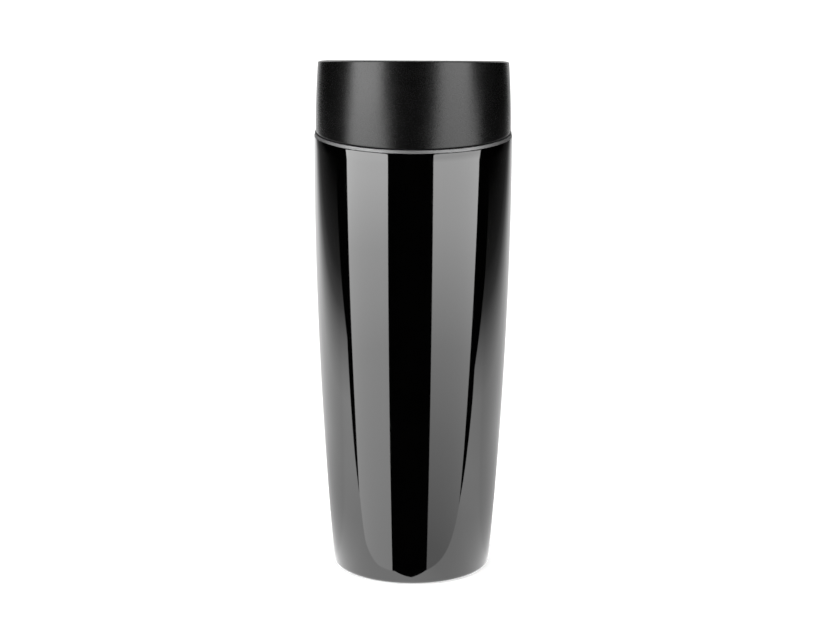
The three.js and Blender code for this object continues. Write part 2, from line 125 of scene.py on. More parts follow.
def wall(radius_at, low, high, steps):
    """Points up or down a wall whose radius is a function of height."""
    heights = [low + (high - low) * i / steps for i in range(steps + 1)]
    return [(radius_at(z), z) for z in heights]


def arc(centre, radius, start, end, steps=6):
    """Points of an arc in the profile plane; angles in degrees, 0 pointing outwards."""
    angles = [math.radians(start + (end - start) * i / steps) for i in range(steps + 1)]
    return [(centre[0] + radius * math.cos(a), centre[1] + radius * math.sin(a)) for a in angles]


def rounded(corners, radius, steps=3, closed=True):
    """The same profile with each clear corner rounded. Points on the axis stay as they are."""
    least_turn = math.radians(25)
    most_share = 0.42  # of an edge, for the corner at one of its ends
    points = []
    count = len(corners)
    for i, corner in enumerate(corners):
        here = Vector(corner)
        if not closed and i in (0, count - 1):
            points.append(tuple(here))
            continue
        before = Vector(corners[i - 1]) - here
        after = Vector(corners[(i + 1) % count]) - here
        turn = math.pi - before.angle(after)
        if turn < least_turn or here.x < 1e-6:
            points.append(tuple(here))
            continue
        longest = most_share * min(before.length, after.length)
        tangent = min(radius * math.tan(turn / 2), longest)
        first = here + before.normalized() * tangent
        last = here + after.normalized() * tangent
        for k in range(steps + 1):
            t = k / steps
            points.append(tuple(first * (1 - t) ** 2 + here * 2 * t * (1 - t) + last * t ** 2))
    return points


def new_piece(name, build):
    """An object whose mesh is filled by `build`, in millimetres, with smooth faces."""
    mesh = bpy.data.meshes.new(name)
    shape = bmesh.new()
    build(shape)
    bmesh.ops.scale(shape, vec=(MM, MM, MM), verts=shape.verts)
    bmesh.ops.remove_doubles(shape, verts=shape.verts, dist=1e-7)
    bmesh.ops.recalc_face_normals(shape, faces=shape.faces)
    shape.to_mesh(mesh)
    shape.free()
    mesh.shade_smooth()
    mesh.set_sharp_from_angle(angle=math.radians(38))
    piece = bpy.data.objects.new(name, mesh)
    bpy.context.scene.collection.objects.link(piece)
    return piece


def loft(shape, section_at, segments):
    """Skins a section round the axis. The section is a function of the angle, so that it can
    follow the slope of the lid's top. It is closed, or else starts and ends on the axis."""
    rings = []
    for i in range(segments):
        angle = 2 * math.pi * i / segments
        c, s = math.cos(angle), math.sin(angle)
        rings.append([shape.verts.new((r * c, r * s, z)) for r, z in section_at(angle)])
    count = len(rings[0])
    on_axis = Vector(rings[0][0].co).xy.length < 1e-6 and Vector(rings[0][-1].co).xy.length < 1e-6
    spans = count - 1 if on_axis else count
    for i, ring in enumerate(rings):
        following = rings[(i + 1) % segments]
        for j in range(spans):
            k = (j + 1) % count
            shape.faces.new((ring[j], ring[k], following[k], following[j]))


def turned(name, profile, segments=FINE):
    return new_piece(name, lambda shape: loft(shape, lambda angle: profile, segments))


def bar(shape, sections):
    """Joins a row of closed outlines, each a list of places, into a bar with flat ends."""
    rows = [[shape.verts.new(place) for place in section] for section in sections]
    for lower, upper in zip(rows, rows[1:]):
        for j in range(len(lower)):
            k = (j + 1) % len(lower)
            shape.faces.new((lower[j], lower[k], upper[k], upper[j]))
    shape.faces.new(rows[0])
    shape.faces.new(list(reversed(rows[-1])))


def ridge(shape, root, tip, height, start):
    """One thread ridge: a helical bar that swells from the wall and dies away into it."""
    steps = 72
    fade = 0.14  # share of the length over which each end dies away
    bite = 0.25  # depth to which the ridge is sunk into the wall
    outward = 1 if tip > root else -1
    sections = []
    for i in range(steps + 1):
        t = i / steps
        swell = min(1, t / fade, (1 - t) / fade)
        swell = math.sin(swell * math.pi / 2)
        angle = start + THREAD_SPAN * t
        z = height + THREAD_LEAD * THREAD_SPAN * t / (2 * math.pi)
        depth = abs(tip - root) * swell
        sunk = root - outward * bite
        flank = root + outward * depth * 0.35
        shoulder = root + outward * depth * 0.85
        crest = root + outward * depth
        outline = [(sunk, -1), (flank, -0.86), (shoulder, -0.64), (crest, -0.4),
                   (crest, 0.4), (shoulder, 0.64), (flank, 0.86), (sunk, 1)]
        c, s = math.cos(angle), math.sin(angle)
        sections.append([(r * c, r * s, z + dz) for r, dz in outline])
    bar(shape, sections)


def thread(shape, root, tip, height):
    for i in range(THREAD_STARTS):
        ridge(shape, root, tip, height, 2 * math.pi * i / THREAD_STARTS)


def on_slope(top, radius, angle):
    """Height of the plane that slopes up to the front, at a place round the axis."""
    return top - TOP_SLOPE * radius * math.sin(angle)


# ---------------------------------------------------------------- shared profiles

def shell_radius(z):
    return OUTER_RADIUS - max(0, WIDEST_Z - z) ** 2 / (2 * WALL_ARC)


def vessel_outer(z):
    return shell_radius(z) - STEEL - VACUUM


def vessel_inner(z):
    return vessel_outer(z) - STEEL


def sleeve_outer(z):
    return LID_RADIUS - max(0, z - LID_LOW) ** 2 / (2 * LID_ARC)


# ---------------------------------------------------------------- the cup

def outer_shell():
    corner_z = SHELL_LOW + FOOT_CORNER
    corner_r = shell_radius(corner_z) - FOOT_CORNER
    shoulder_z = SHELL_HIGH - SHOULDER_CORNER
    shoulder_r = OUTER_RADIUS - SHOULDER_CORNER
    return turned("outer_shell_lacquered", [
        (FOOT_OPENING, SHELL_LOW),
        *arc((corner_r, corner_z), FOOT_CORNER, -90, 0, 14),
        *wall(shell_radius, WALL_START, WIDEST_Z, 48),
        *arc((shoulder_r, shoulder_z), SHOULDER_CORNER, 0, 90, 10),
        (SHELL_MOUTH, SHELL_HIGH),
        (SHELL_MOUTH, SHELL_HIGH - STEEL),
        (shoulder_r - 0.2, SHELL_HIGH - STEEL),
        *wall(lambda z: shell_radius(z) - STEEL, SHELL_HIGH - STEEL - 0.2, WALL_START, 14),
        *arc((corner_r, corner_z), FOOT_CORNER - STEEL, 0, -90, 6),
        (FOOT_OPENING, SHELL_LOW + STEEL),
    ])


def inner_vessel():
    floor_z = 14
    corner = 9
    corner_z = floor_z + corner
    floor_r = vessel_inner(corner_z) - corner
    lip_corner = 1.6
    lip_r, _, lip_z = reach("inner_vessel")
    body_low = 32
    body_top = LEDGE_TOP - 5
    curl = (NECK_RADIUS + lip_corner, lip_z - lip_corner)
    inside = [
        (0, floor_z),
        *arc((floor_r, corner_z), corner, -90, 0, 12),
        *wall(vessel_inner, body_low, body_top, 16),
        *rounded([(35.4, 168.4), (LEDGE_RADIUS, LEDGE_TOP - 1.6), (LEDGE_RADIUS, LEDGE_TOP),
                  (NECK_RADIUS, 173.9), (NECK_RADIUS, 175)], 0.7, closed=False),
        *arc(curl, lip_corner, 180, 90, 8),
    ]
    outside = [
        (lip_r, lip_z),
        (lip_r, lip_z - STEEL),
        *arc(curl, lip_corner - STEEL, 90, 180, 6),
        (NECK_RADIUS + STEEL, 173.7),
        (LEDGE_RADIUS + STEEL, LEDGE_TOP - 0.3),
        (LEDGE_RADIUS + STEEL, LEDGE_TOP - 1.4),
        *wall(vessel_outer, body_top, body_low, 8),
        *arc((floor_r, corner_z), corner + STEEL, 0, -90, 8),
        (0, floor_z - STEEL),
    ]
    female_z = MALE_THREAD_Z + THREAD_LEAD / THREAD_STARTS / 2

    def build(shape):
        loft(shape, lambda angle: inside + outside, FINE)
        thread(shape, NECK_RADIUS, NECK_RADIUS - THREAD_DEPTH, female_z)

    return new_piece("inner_vessel_drawn", build)


def rim_ring():
    """Bright ring: it hooks inside the shell's mouth and rests just over its top edge."""
    inner = 37.9
    hook = SHELL_MOUTH - GAP
    flange_z = SHELL_HIGH + 0.02
    return turned("rim_ring_polished", rounded([
        (inner, RING_LOW), (hook, RING_LOW), (hook, flange_z), (RING_RADIUS, flange_z),
        (RING_RADIUS - 0.1, RING_HIGH), (inner, RING_HIGH),
    ], 0.1, 4))


def base_plate():
    top = 6.4
    flange = FOOT_OPENING + 1.2
    flange_z = SHELL_LOW + STEEL + GAP
    return turned("base_plate_pressed", rounded([
        (1.2, top - 1), (4.5, top - 1), (6, top), (flange - 2.8, top), (flange - 1.8, flange_z + STEEL),
        (flange, flange_z + STEEL), (flange, flange_z), (flange - 2.2, flange_z),
        (flange - 3.2, top - STEEL), (6.2, top - STEEL), (4.7, top - 1 - STEEL), (1.2, top - 1 - STEEL),
    ], 0.5), MEDIUM)


def base_cover():
    edge, low, high = reach("base_cover")
    pad = reach("foot_pad")[0] + GAP
    return turned("base_cover_moulded", rounded(
        [(0, 2.2), (pad, 2.2), (pad, low), (edge, low), (edge, high), (0, high)], 0.25), MEDIUM)


def foot_pad():
    """Silicone pad with fine concentric grooves that drain it."""
    radius, low, high = reach("foot_pad")
    grooves = []
    for r in (22.5, 17.5, 12.5, 7.5):
        grooves += [(r - 0.5, low), (r - 0.25, low + 0.35), (r + 0.25, low + 0.35), (r + 0.5, low)]
    grooves.sort(key=lambda point: point[0])
    return turned("foot_pad_grooved", rounded(
        [(0, low), *grooves, (radius, low), (radius, high), (0, high)], 0.3), MEDIUM)


# ---------------------------------------------------------------- the lid

def rim_edge(angle):
    """Radius and height where the lid's wall turns into the crown, at an angle round the axis."""
    fall = RIM_CROWN[1]
    height = on_slope(LID_TOP, LID_RADIUS, angle) - fall
    return sleeve_outer(height), height


def crown_points(angle, first_r, last_r, steps):
    """Points of the crown from one radius in to another. It meets the sloping plane at its crest
    and falls away from it outwards, like a quarter of an ellipse."""
    width, fall = RIM_CROWN
    crest_r = rim_edge(angle)[0] - width
    turns = [math.acos(min(1, max(0, (r - crest_r) / width))) for r in (first_r, last_r)]
    points = []
    for i in range(steps + 1):
        turn = turns[0] + (turns[1] - turns[0]) * i / steps
        radius = crest_r + width * math.cos(turn)
        points.append((radius, on_slope(LID_TOP, radius, angle) - fall * (1 - math.sin(turn))))
    return points


def sleeve_section(angle):
    """Soft-touch cover: rounded lower edge, gently curved wall, crowned rim on the slope."""
    outer_r, shoulder = rim_edge(angle)
    inner_top = outer_r - SLEEVE_WALL
    crown = crown_points(angle, outer_r, inner_top, 8)
    lip_z = crown[-1][1]
    edge = 0.45
    return [
        (LID_RADIUS - SLEEVE_WALL, LID_LOW + 0.2),
        (LID_RADIUS - SLEEVE_WALL + 0.2, LID_LOW),
        *arc((LID_RADIUS - edge, LID_LOW + edge), edge, -90, 0, 5),
        *wall(sleeve_outer, LID_LOW + 1, shoulder - 0.05, 22),
        *crown,
        (inner_top - 0.05, lip_z - 0.08),
        (inner_top - 0.08, lip_z - 0.3),
        *wall(lambda z: sleeve_outer(z) - SLEEVE_WALL, shoulder - 2, LID_LOW + 1, 6),
    ]


def bowl_section(angle):
    """Drinking bowl, whose lip carries the sleeve's crown on to the rim's crest."""
    outer_r = rim_edge(angle)[0] - SLEEVE_WALL - GAP
    inside_r = outer_r - BOWL_WALL
    lip_corner = 0.8
    low = 195.3
    crown = crown_points(angle, outer_r, inside_r + lip_corner, 4)
    crest = crown[-1][1]
    lip = arc((inside_r + lip_corner, crest - lip_corner), lip_corner, 90, 180, 5)[1:]

    def outer_wall(z):
        return sleeve_outer(z) - SLEEVE_WALL - GAP

    def inner_wall(z):
        return outer_wall(z) - BOWL_WALL

    return [
        (PLUG_BORE, low),
        (PLUG_LIP, low),
        (PLUG_LIP, 200),
        (outer_wall(210) - 0.4, 210),
        *wall(outer_wall, 212, crest - 1.2, 6),
        (outer_r, crown[0][1] - 0.15),
        *crown,
        *lip,
        *wall(inner_wall, crest - 1.4, 212, 8),
        (inner_wall(211) - 0.15, 210.4),
        (inner_wall(211) - 0.7, 209),
        (PLUG_BORE + 2.1, 203.4),
        (PLUG_BORE + 1.0, 200.6),
        (PLUG_BORE + 0.5, 198.6),
    ]


def lid_sleeve():
    return new_piece("lid_sleeve_soft", lambda shape: loft(shape, sleeve_section, FINE))


def drinking_bowl():
    return new_piece("drinking_bowl_moulded", lambda shape: loft(shape, bowl_section, FINE))


def threaded_plug():
    """Plug with the gasket's groove, the thread, a flange and, inside, the cone of the valve seat."""
    flange, low, top = reach("threaded_plug")
    flange_top = LID_LOW + 2
    groove_r = PLUG_RADIUS - 2.8
    groove_low, groove_top = 172.9, 176.6
    profile = rounded([
        (30, low), (33, low), (33, groove_low), (groove_r, groove_low),
        (groove_r, groove_top), (PLUG_RADIUS, groove_top), (PLUG_RADIUS, LID_LOW), (flange, LID_LOW),
        (flange, flange_top), (PLUG_LIP, flange_top), (PLUG_LIP, top), (PLUG_BORE, top),
        (PLUG_BORE, 184.6), (SEAT_RADIUS + 0.6, 180.4), (SEAT_RADIUS, 179.6), (SEAT_RADIUS, 178.6),
        (27.5, 175.5), (30, 175.5),
    ], 0.5)

    def build(shape):
        loft(shape, lambda angle: profile, FINE)
        thread(shape, PLUG_RADIUS, PLUG_RADIUS + THREAD_DEPTH, MALE_THREAD_Z)

    return new_piece("threaded_plug_moulded", build)


def valve_carrier():
    """Ring with four spokes, which hold the tube of the press cartridge on the axis."""
    outer, tube_low, tube_top = reach("valve_carrier")
    inner = outer - 1.6
    low, high = 186, 193
    stem_hole = STEM_RADIUS + 0.3
    seal_pocket = 5.2
    tube_bore = TUBE_RADIUS - 2
    rim = rounded([(inner, low), (outer, low), (outer, high), (inner, high)], 0.5)
    tube = rounded([
        (stem_hole, tube_low + 2), (seal_pocket, tube_low + 2), (seal_pocket, tube_low),
        (TUBE_RADIUS - 1, tube_low), (TUBE_RADIUS, tube_low + 1), (TUBE_RADIUS, tube_top),
        (tube_bore, tube_top), (tube_bore, tube_low + 3), (stem_hole, tube_low + 3),
    ], 0.5)

    def build(shape):
        loft(shape, lambda angle: rim, FINE)
        loft(shape, lambda angle: tube, MEDIUM)
        for i in range(4):
            spoke(shape, TUBE_RADIUS - 0.8, inner + 0.4, low, high, math.pi / 4 + i * math.pi / 2)

    return new_piece("valve_carrier_moulded", build)


def spoke(shape, near, far, low, high, angle):
    """A spoke with rounded edges and a waist, from the tube to the carrier's ring."""
    steps = 10
    sections = []
    for i in range(steps + 1):
        t = i / steps
        along = near + (far - near) * t
        half = 1.1 - 0.25 * math.sin(math.pi * t)
        outline = rounded([(-half, low), (half, low), (half, high), (-half, high)], 0.6)
        c, s = math.cos(angle), math.sin(angle)
        sections.append([(along * c - w * s, along * s + w * c, z) for w, z in outline])
    bar(shape, sections)


# ---------------------------------------------------------------- what moves with the button

def cap_section(angle):
    """Hollow button with a softly rounded edge and a shallow seat for the inlay."""
    thick = 2.2
    wall_r = BUTTON_RADIUS - thick
    under = BUTTON_TOP - thick
    skirt = reach("button_cap")[1]
    boss_r, boss_bore, boss_low, bore_top = 9.5, 7.6, 211, 215.3
    seat = INLAY_RADIUS + GAP
    seat_depth = 0.8
    seat_edge = 0.18
    seat_top = on_slope(BUTTON_TOP, seat, angle)
    edge = 1.1
    top_edge = on_slope(BUTTON_TOP, BUTTON_RADIUS, angle)
    return [
        (0, bore_top), (boss_bore, bore_top), (boss_bore, boss_low), (boss_r, boss_low),
        (boss_r, on_slope(under, boss_r, angle)), (wall_r, on_slope(under, wall_r, angle)),
        (wall_r, skirt + 0.3), (wall_r + 0.3, skirt),
        (BUTTON_RADIUS - 1.1, skirt), (BUTTON_RADIUS - 0.75, skirt + 0.3), (BUTTON_RADIUS, 209),
        *wall(lambda z: BUTTON_RADIUS, 210, top_edge - edge - 0.3, 4),
        *arc((BUTTON_RADIUS - edge, top_edge - edge), edge, 0, 90, 8),
        (seat + seat_edge, seat_top), (seat, seat_top - seat_edge), (seat, seat_top - seat_depth),
        (0, BUTTON_TOP - seat_depth),
    ]


def inlay_section(angle):
    """Plain inlay with a shallow finger dish and a softened edge."""
    dish = 0.3
    steps = 14
    low = BUTTON_TOP - 0.7
    top_edge = on_slope(BUTTON_TOP, INLAY_RADIUS, angle)
    points = [(0, low), (INLAY_RADIUS, on_slope(low, INLAY_RADIUS, angle))]
    points.append((INLAY_RADIUS, top_edge - 0.2))
    points.append((INLAY_RADIUS - 0.06, top_edge - 0.06))
    for i in range(steps + 1):
        r = (INLAY_RADIUS - 0.2) * (1 - i / steps)
        sink = dish * (1 - (r / INLAY_RADIUS) ** 2)
        points.append((r, on_slope(BUTTON_TOP, r, angle) - sink))
    return points


def button_cap():
    return new_piece("button_cap_soft", lambda shape: loft(shape, cap_section, FINE))


def button_inlay():
    return new_piece("button_inlay_smooth", lambda shape: loft(shape, inlay_section, FINE))


def valve_nut():
    """Finger nut with six lobes, chamfered above and below."""
    low, high = reach("valve_nut")[1:]
    bore = 2.5
    chamfer = 0.7

    def section(angle):
        outer = 7.2 * (1 + 0.11 * math.cos(6 * angle))
        return [(bore, low), (outer - chamfer, low), (outer, low + chamfer), (outer, high - chamfer),
                (outer - chamfer, high), (bore, high)]

    return new_piece("valve_nut_lobed", lambda shape: loft(shape, section, MEDIUM))


def return_spring():
    """Coil spring of round wire, whose turns lie closer together towards its ends."""
    low, high = reach("return_spring")[1:]
    wire = 0.45  # radius of the wire
    coil = 6.2  # radius of the coil
    turns = 4
    steps = 72 * turns
    # share of the open pitch at each step: 1 at mid height, a quarter at the ends
    shares = [1 - 0.75 * abs(2 * (i + 0.5) / steps - 1) ** 3 for i in range(steps)]
    climb = (high - low - 2 * wire) / sum(shares)
    sections = []
    for i in range(steps + 1):
        angle = 2 * math.pi * turns * i / steps
        c, s = math.cos(angle), math.sin(angle)
        centre = (coil, low + wire + climb * sum(shares[:i]))
        outline = arc(centre, wire, 0, 345, 23)
        sections.append([(r * c, r * s, z) for r, z in outline])
    return new_piece("return_spring_wound", lambda shape: bar(shape, sections))


# Profiles of the pieces that are simply turned: node, suffix, segments, corner radius and points.
TURNED = [
    ("lid_gasket", "ring", FINE, 0.5, [
        (31.9, 173.2), (33.8, 173.2), (34.4, 173.8), (34.4, 175.6), (33.8, 176.3), (31.9, 176.3)]),
    ("plunger_wiper", "ring", SMALL, 0.2, [
        (7.7, 203), (8.2, 202.3), (9.7, 202.3), (9.7, 204.4), (8.4, 204.4), (7.7, 203.6)]),
    ("seal_retainer", "washer", SMALL, 0.2, [(3.4, 178.7), (7, 178.7), (7, 179.7), (3.4, 179.7)]),
    ("thrust_washer", "washer", SMALL, 0.2, [(3.3, 194.2), (7.6, 194.2), (7.6, 194.9), (3.3, 194.9)]),
    ("plunger", "turned", SMALL, 0.4, [
        (3.3, 200.3), (6.6, 200.3), (7.3, 201), (7.3, 215), (3.3, 215)]),
    ("valve_stem", "turned", SMALL, 0.2, [
        (0, 163.6), (2, 163.6), (2.3, 164), (2.3, 175.6), (3, 175.6), (3, 214.6), (0, 214.6)]),
    ("valve_head", "moulded", FINE, 0.5, [
        (2.6, 169.4), (6.4, 169.4), (6.4, 172.2), (20, 171.2), (25.4, 171.2), (25.6, 171.6),
        (25.6, 172.8), (21.6, 172.8), (21.6, 176), (22.9, 176), (22.9, 177), (21, 177.8), (8, 175.4),
        (2.6, 175.4)]),
    ("valve_gasket", "ring", FINE, 0.5, [
        (21.9, 173.1), (26.8, 173.1), (27.4, 173.6), (26.7, 175.7), (23.7, 178), (23.2, 177.6),
        (23.2, 175.7), (21.9, 175.7)]),
]


# ---------------------------------------------------------------- shading helpers

def calculate(tree, operation, first, second=0.0):
    """One math node between two values, each a socket or a number."""
    node = tree.nodes.new("ShaderNodeMath")
    node.operation = operation
    for value, socket in zip((first, second), node.inputs):
        if isinstance(value, bpy.types.NodeSocket):
            tree.links.new(value, socket)
        else:
            socket.default_value = value
    return node.outputs[0]


def length_of(tree, across, along):
    """Length of the line with these two sides."""
    squares = [calculate(tree, "POWER", side, 2.0) for side in (across, along)]
    return calculate(tree, "SQRT", calculate(tree, "ADD", *squares))


def ramp(tree, value, low, high, new_low, new_high):
    """Carries a range of values to another, and holds it at the ends."""
    node = tree.nodes.new("ShaderNodeMapRange")
    tree.links.new(value, node.inputs["Value"])
    node.inputs["From Min"].default_value = low
    node.inputs["From Max"].default_value = high
    node.inputs["To Min"].default_value = new_low
    node.inputs["To Max"].default_value = new_high
    return node.outputs["Result"]


def curve(tree, value, points):
    """A value carried along straight lines between (value, result) points."""
    (x0, y0), (x1, y1) = points[:2]
    result = ramp(tree, value, x0, x1, y0, y1)
    for (x0, y0), (x1, y1) in zip(points[1:], points[2:]):
        result = calculate(tree, "ADD", result, ramp(tree, value, x0, x1, 0, y1 - y0))
    return result


def place_of(tree):
    """The X, Y and Z of the place that is shaded, in metres."""
    coordinates = tree.nodes.new("ShaderNodeTexCoord")
    parts = tree.nodes.new("ShaderNodeSeparateXYZ")
    tree.links.new(coordinates.outputs["Object"], parts.inputs[0])
    return parts.outputs


# ---------------------------------------------------------------- materials

class Surface:
    """A Principled material with short ways to add procedural detail. Places are in metres."""

    def __init__(self, name, roughness, metallic=0.0):
        self.material = bpy.data.materials.new(name)
        self.material.use_nodes = True
        self.tree = self.material.node_tree
        self.shader = self.tree.nodes["Principled BSDF"]
        self.shader.inputs["Roughness"].default_value = roughness
        self.shader.inputs["Metallic"].default_value = metallic
        self.place = self.add("ShaderNodeTexCoord").outputs["Object"]

    def add(self, kind, **settings):
        node = self.tree.nodes.new(kind)
        for key, value in settings.items():
            setattr(node, key, value)
        return node

    def feed(self, source, target):
        if isinstance(source, bpy.types.NodeSocket):
            self.tree.links.new(source, target)
        else:
            target.default_value = source

    def math(self, operation, first, second):
        return calculate(self.tree, operation, first, second)

    def noise(self, scale, detail=3.0, place=None, roughness=0.55, distortion=0.0):
        node = self.add("ShaderNodeTexNoise")
        self.feed(place or self.place, node.inputs["Vector"])
        node.inputs["Scale"].default_value = scale
        node.inputs["Detail"].default_value = detail
        node.inputs["Roughness"].default_value = roughness
        node.inputs["Distortion"].default_value = distortion
        return node.outputs["Fac"]

    def fit(self, value, low, high, new_low, new_high):
        return ramp(self.tree, value, low, high, new_low, new_high)

    def turned_place(self, round_scale):
        """Coordinates whose noise runs in long lines round the axis, as a lathe leaves them."""
        place = place_of(self.tree)
        radius = length_of(self.tree, place["X"], place["Y"])
        joined = self.add("ShaderNodeCombineXYZ")
        self.feed(self.math("MULTIPLY", place["X"], round_scale), joined.inputs["X"])
        self.feed(self.math("MULTIPLY", place["Y"], round_scale), joined.inputs["Y"])
        self.feed(self.math("ADD", radius, place["Z"]), joined.inputs["Z"])
        return joined.outputs[0]

    def colour(self, fac, dark, light):
        node = self.add("ShaderNodeMix", data_type="RGBA")
        self.feed(fac, node.inputs["Factor"])
        node.inputs["A"].default_value = (*dark, 1)
        node.inputs["B"].default_value = (*light, 1)
        self.feed(node.outputs["Result"], self.shader.inputs["Base Color"])

    def roughen(self, value):
        self.feed(value, self.shader.inputs["Roughness"])

    def bump(self, *layers):
        """Stacks bump layers, each a height, a strength and a depth in metres."""
        normal = None
        for height, strength, depth in layers:
            node = self.add("ShaderNodeBump")
            self.feed(height, node.inputs["Height"])
            node.inputs["Strength"].default_value = strength
            node.inputs["Distance"].default_value = depth
            if normal:
                self.feed(normal, node.inputs["Normal"])
            normal = node.outputs["Normal"]
        self.feed(normal, self.shader.inputs["Normal"])


def gloss_lacquer():
    """Deep black lacquer: nearly a mirror, with faint orange peel, handling marks and a few
    scuffs low down where the tumbler meets the table."""
    s = Surface("gloss_lacquer", 0.03)
    s.shader.inputs["IOR"].default_value = 1.5
    s.colour(s.noise(60), (0.0001, 0.0001, 0.0001), (0.0003, 0.0003, 0.0003))
    smears = s.fit(s.noise(28, 4, distortion=0.6), 0.48, 0.75, 0.0, 0.035)
    foot = s.fit(place_of(s.tree)["Z"], 0.0, 0.006, 0.16, 0.0)
    scuffs = s.math("MULTIPLY", foot, s.fit(s.noise(900, 4), 0.45, 0.62, 0.0, 1.0))
    s.roughen(s.math("ADD", s.math("ADD", smears, 0.03), scuffs))
    s.bump((s.noise(330, 1), 0.05, 0.00002), (s.noise(45, 1), 0.05, 0.0001))
    return s.material


def soft_touch():
    """Black soft-touch coating with a fine even grain and slightly shinier worn patches."""
    s = Surface("soft_touch_black", 0.26)
    s.shader.inputs["Specular IOR Level"].default_value = 0.2
    grain = s.noise(2300, 2)
    s.colour(s.noise(140, 4), (0.0008, 0.0008, 0.0008), (0.002, 0.002, 0.002))
    patches = s.fit(s.noise(35, 4), 0.35, 0.7, -0.015, 0.025)
    s.roughen(s.math("ADD", s.math("ADD", patches, 0.26), s.fit(grain, 0.3, 0.7, -0.03, 0.03)))
    s.bump((grain, 0.42, 0.00006), (s.noise(750, 3), 0.14, 0.0001))
    return s.material


def black_plastic():
    """Moulded black plastic with a spark-eroded texture."""
    s = Surface("black_plastic", 0.4)
    s.colour(s.noise(90, 4), (0.016, 0.016, 0.0165), (0.026, 0.026, 0.027))
    s.roughen(s.fit(s.noise(500, 3), 0.3, 0.7, 0.34, 0.48))
    s.bump((s.noise(1600, 3), 0.2, 0.00006))
    return s.material


def inlay_black():
    """Smooth satin inlay with faint finger marks."""
    s = Surface("inlay_black", 0.2)
    s.colour(s.noise(70, 4), (0.024, 0.024, 0.025), (0.034, 0.034, 0.035))
    s.roughen(s.fit(s.noise(55, 5, distortion=0.8), 0.4, 0.72, 0.24, 0.32))
    s.bump((s.noise(900, 2), 0.06, 0.00003))
    return s.material


def bare_steel():
    """Drawn stainless steel with satin lines that run round the axis."""
    s = Surface("bare_steel", 0.3, 1.0)
    lines = s.noise(2600, 2, s.turned_place(0.03))
    s.colour(s.noise(45, 4), (0.50, 0.50, 0.505), (0.60, 0.60, 0.605))
    handled = s.fit(s.noise(30, 3), 0.4, 0.7, 0.0, 0.06)
    s.roughen(s.math("ADD", s.fit(lines, 0.3, 0.7, 0.24, 0.34), handled))
    s.bump((lines, 0.16, 0.00003))
    return s.material


def polished_steel():
    """Turned steel with very fine tool lines, a satin sheen and a few small nicks."""
    s = Surface("polished_steel", 0.6, 1.0)
    lines = s.noise(5200, 2, s.turned_place(0.02))
    s.colour(s.noise(120, 4), (0.12, 0.12, 0.121), (0.16, 0.16, 0.161))
    s.roughen(s.fit(lines, 0.3, 0.7, 0.56, 0.68))
    nicks = s.fit(s.noise(420, 5), 0.66, 0.74, 0.0, -1.0)
    s.bump((lines, 0.12, 0.00002), (nicks, 0.3, 0.00003))
    return s.material


def silicone(name, dark, light):
    """Soft moulded silicone: matte, with a dusty bloom and fine texture."""
    s = Surface(name, 0.55)
    s.colour(s.noise(160, 5), dark, light)
    s.roughen(s.fit(s.noise(420, 3), 0.3, 0.7, 0.5, 0.68))
    s.bump((s.noise(1400, 3), 0.18, 0.00008))
    return s.material


def white_acetal():
    """Smooth off-white moulding with faint flow marks."""
    s = Surface("white_acetal", 0.35)
    s.shader.inputs["Subsurface Weight"].default_value = 0.08
    s.shader.inputs["Subsurface Radius"].default_value = (0.002, 0.002, 0.002)
    s.colour(s.noise(110, 3), (0.70, 0.70, 0.67), (0.78, 0.78, 0.76))
    s.roughen(s.fit(s.noise(300, 3), 0.3, 0.7, 0.3, 0.42))
    s.bump((s.noise(1200, 2), 0.1, 0.00004))
    return s.material


def pressed_powder():
    """Dark grainy metal of the getter pellet."""
    s = Surface("getter_metal", 0.7, 0.7)
    s.colour(s.noise(2200, 4), (0.07, 0.07, 0.075), (0.17, 0.17, 0.18))
    s.roughen(s.fit(s.noise(1800, 3), 0.3, 0.7, 0.6, 0.8))
    s.bump((s.noise(2600, 3), 0.6, 0.0001))
    return s.material


def melted_braze():
    """Braze that has run and set, brighter where it is smooth."""
    s = Surface("braze", 0.35, 1.0)
    s.colour(s.noise(700, 4), (0.42, 0.27, 0.10), (0.62, 0.45, 0.2))
    s.roughen(s.fit(s.noise(900, 4), 0.3, 0.7, 0.25, 0.5))
    s.bump((s.noise(500, 3), 0.4, 0.0002))
    return s.material


MATERIALS = {
    "gloss_lacquer": gloss_lacquer(),
    "bare_steel": bare_steel(),
    "polished_steel": polished_steel(),
    "soft_touch_black": soft_touch(),
    "black_plastic": black_plastic(),
    "inlay_black": inlay_black(),
    "grey_silicone": silicone("grey_silicone", (0.22, 0.225, 0.23), (0.30, 0.305, 0.31)),
    "dark_silicone": silicone("dark_silicone", (0.014, 0.014, 0.015), (0.03, 0.03, 0.032)),
    "white_acetal": white_acetal(),
    "getter_metal": pressed_powder(),
    "braze": melted_braze(),
}


# ---------------------------------------------------------------- the object

def stand_for(node, piece):
    """A fine piece takes the place of its CAD node, on the same body and with the same finish."""
    piece.data.materials.append(MATERIALS[SLOT_OF[node]])
    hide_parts(node)
    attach(piece, BODY_OF[node])


def shorten_spring():
    """Gives the spring its own copy of its mesh."""
    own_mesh(bpy.data.objects["return_spring_wound"])


MODELLED = {
    "outer_shell": outer_shell, "inner_vessel": inner_vessel, "rim_ring": rim_ring,
    "base_plate": base_plate, "base_cover": base_cover, "foot_pad": foot_pad,
    "lid_sleeve": lid_sleeve, "drinking_bowl": drinking_bowl, "threaded_plug": threaded_plug,
    "valve_carrier": valve_carrier, "button_cap": button_cap, "button_inlay": button_inlay,
    "valve_nut": valve_nut, "return_spring": return_spring,
}

for node, model in MODELLED.items():
    stand_for(node, model())

for node, suffix, segments, corner, points in TURNED:
    stand_for(node, turned(f"{node}_{suffix}", rounded(points, corner), segments))

shorten_spring()

